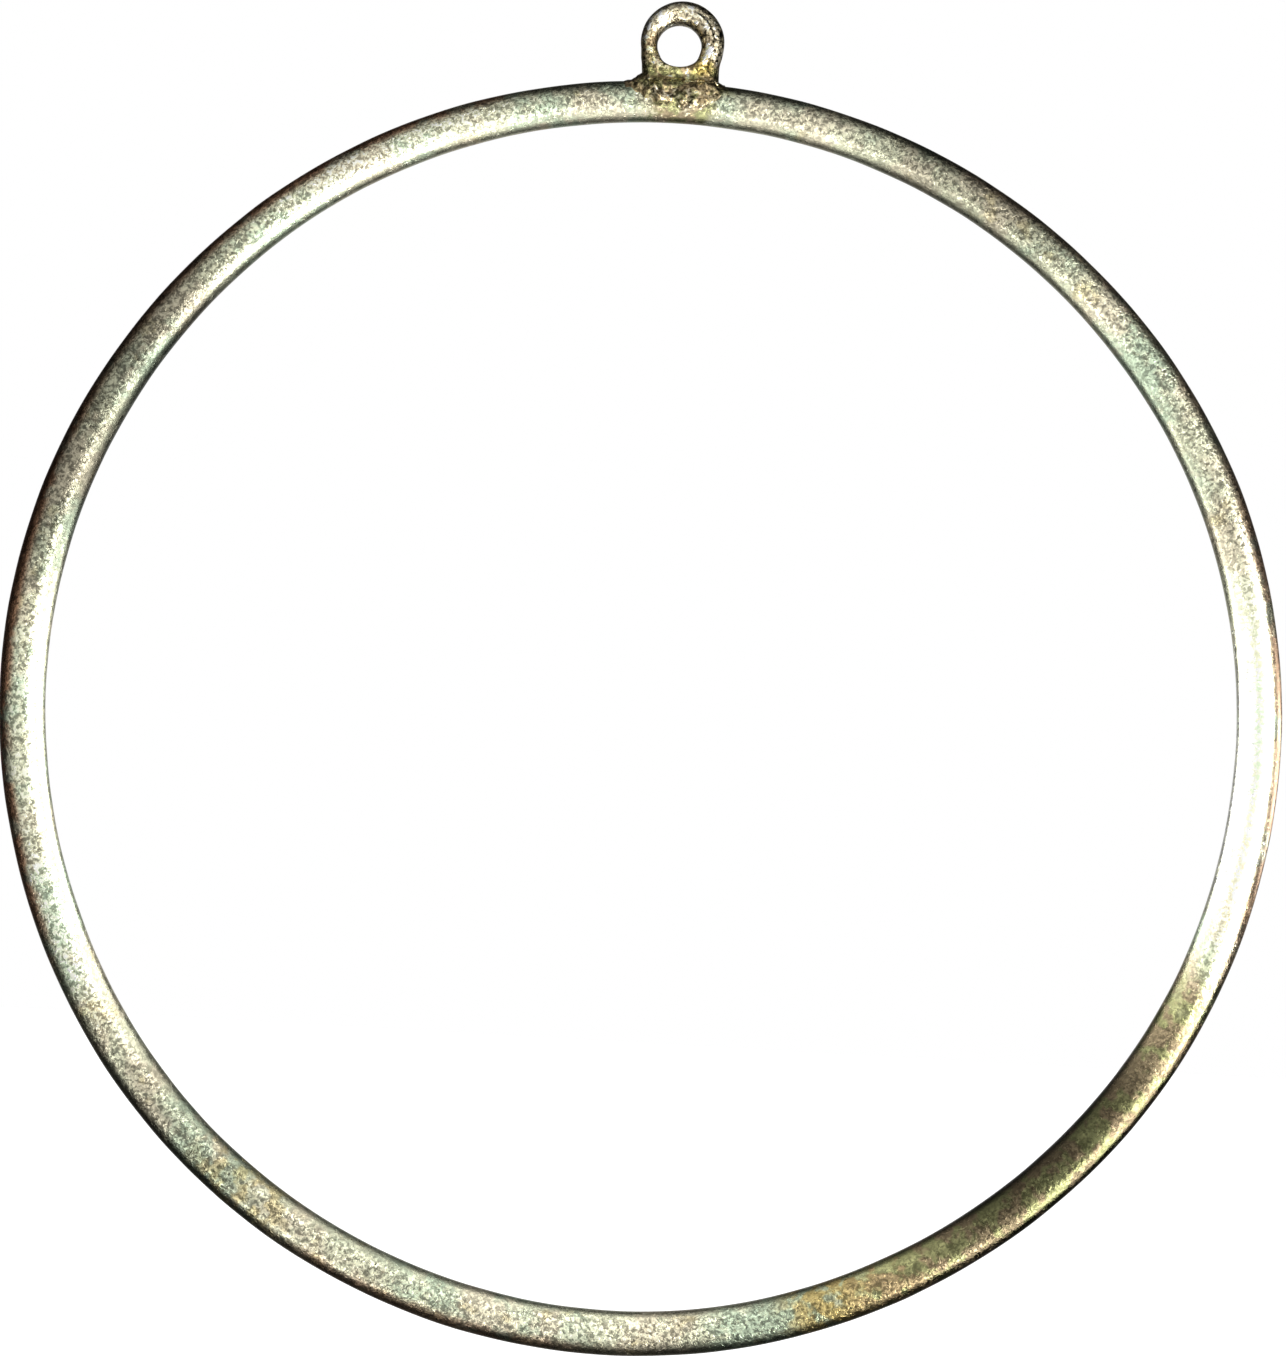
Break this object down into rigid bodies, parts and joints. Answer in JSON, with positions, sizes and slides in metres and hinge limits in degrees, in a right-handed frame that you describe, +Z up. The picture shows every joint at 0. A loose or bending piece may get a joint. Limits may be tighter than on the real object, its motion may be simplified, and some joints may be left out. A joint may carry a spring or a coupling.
{
  "type": "hanging wreath hoop",
  "caption": "Round solid-bar brass hoop with a small flat hanging eye brazed on top, for binding flowers and foliage onto.",
  "frame": {"origin": "centre of the hanging hole in the eye, midway through its thickness", "axes": "+Z up from the hoop's centre through the hole, +Y from the front to the back along the hole's axis, +X to the right as seen from the front"},
  "size_m": [0.2, 0.007, 0.2129],
  "materials": {
    "bar_brass": "satin pale brass with a fine rough grain",
    "eye_brass": "satin pale brass, darker in its hollows",
    "braze_filler": "dull, lumpy, slightly yellower brass"
  },
  "bodies": {
    "root": {"hoop_bar": "bar_brass", "hoop_end_braze": "braze_filler", "hanging_eye": "eye_brass", "saddle_braze": "braze_filler", "left_braze_fillet": "braze_filler", "right_braze_fillet": "braze_filler", "front_braze_bead": "braze_filler", "back_braze_bead": "braze_filler"}
  },
  "joints": []
}
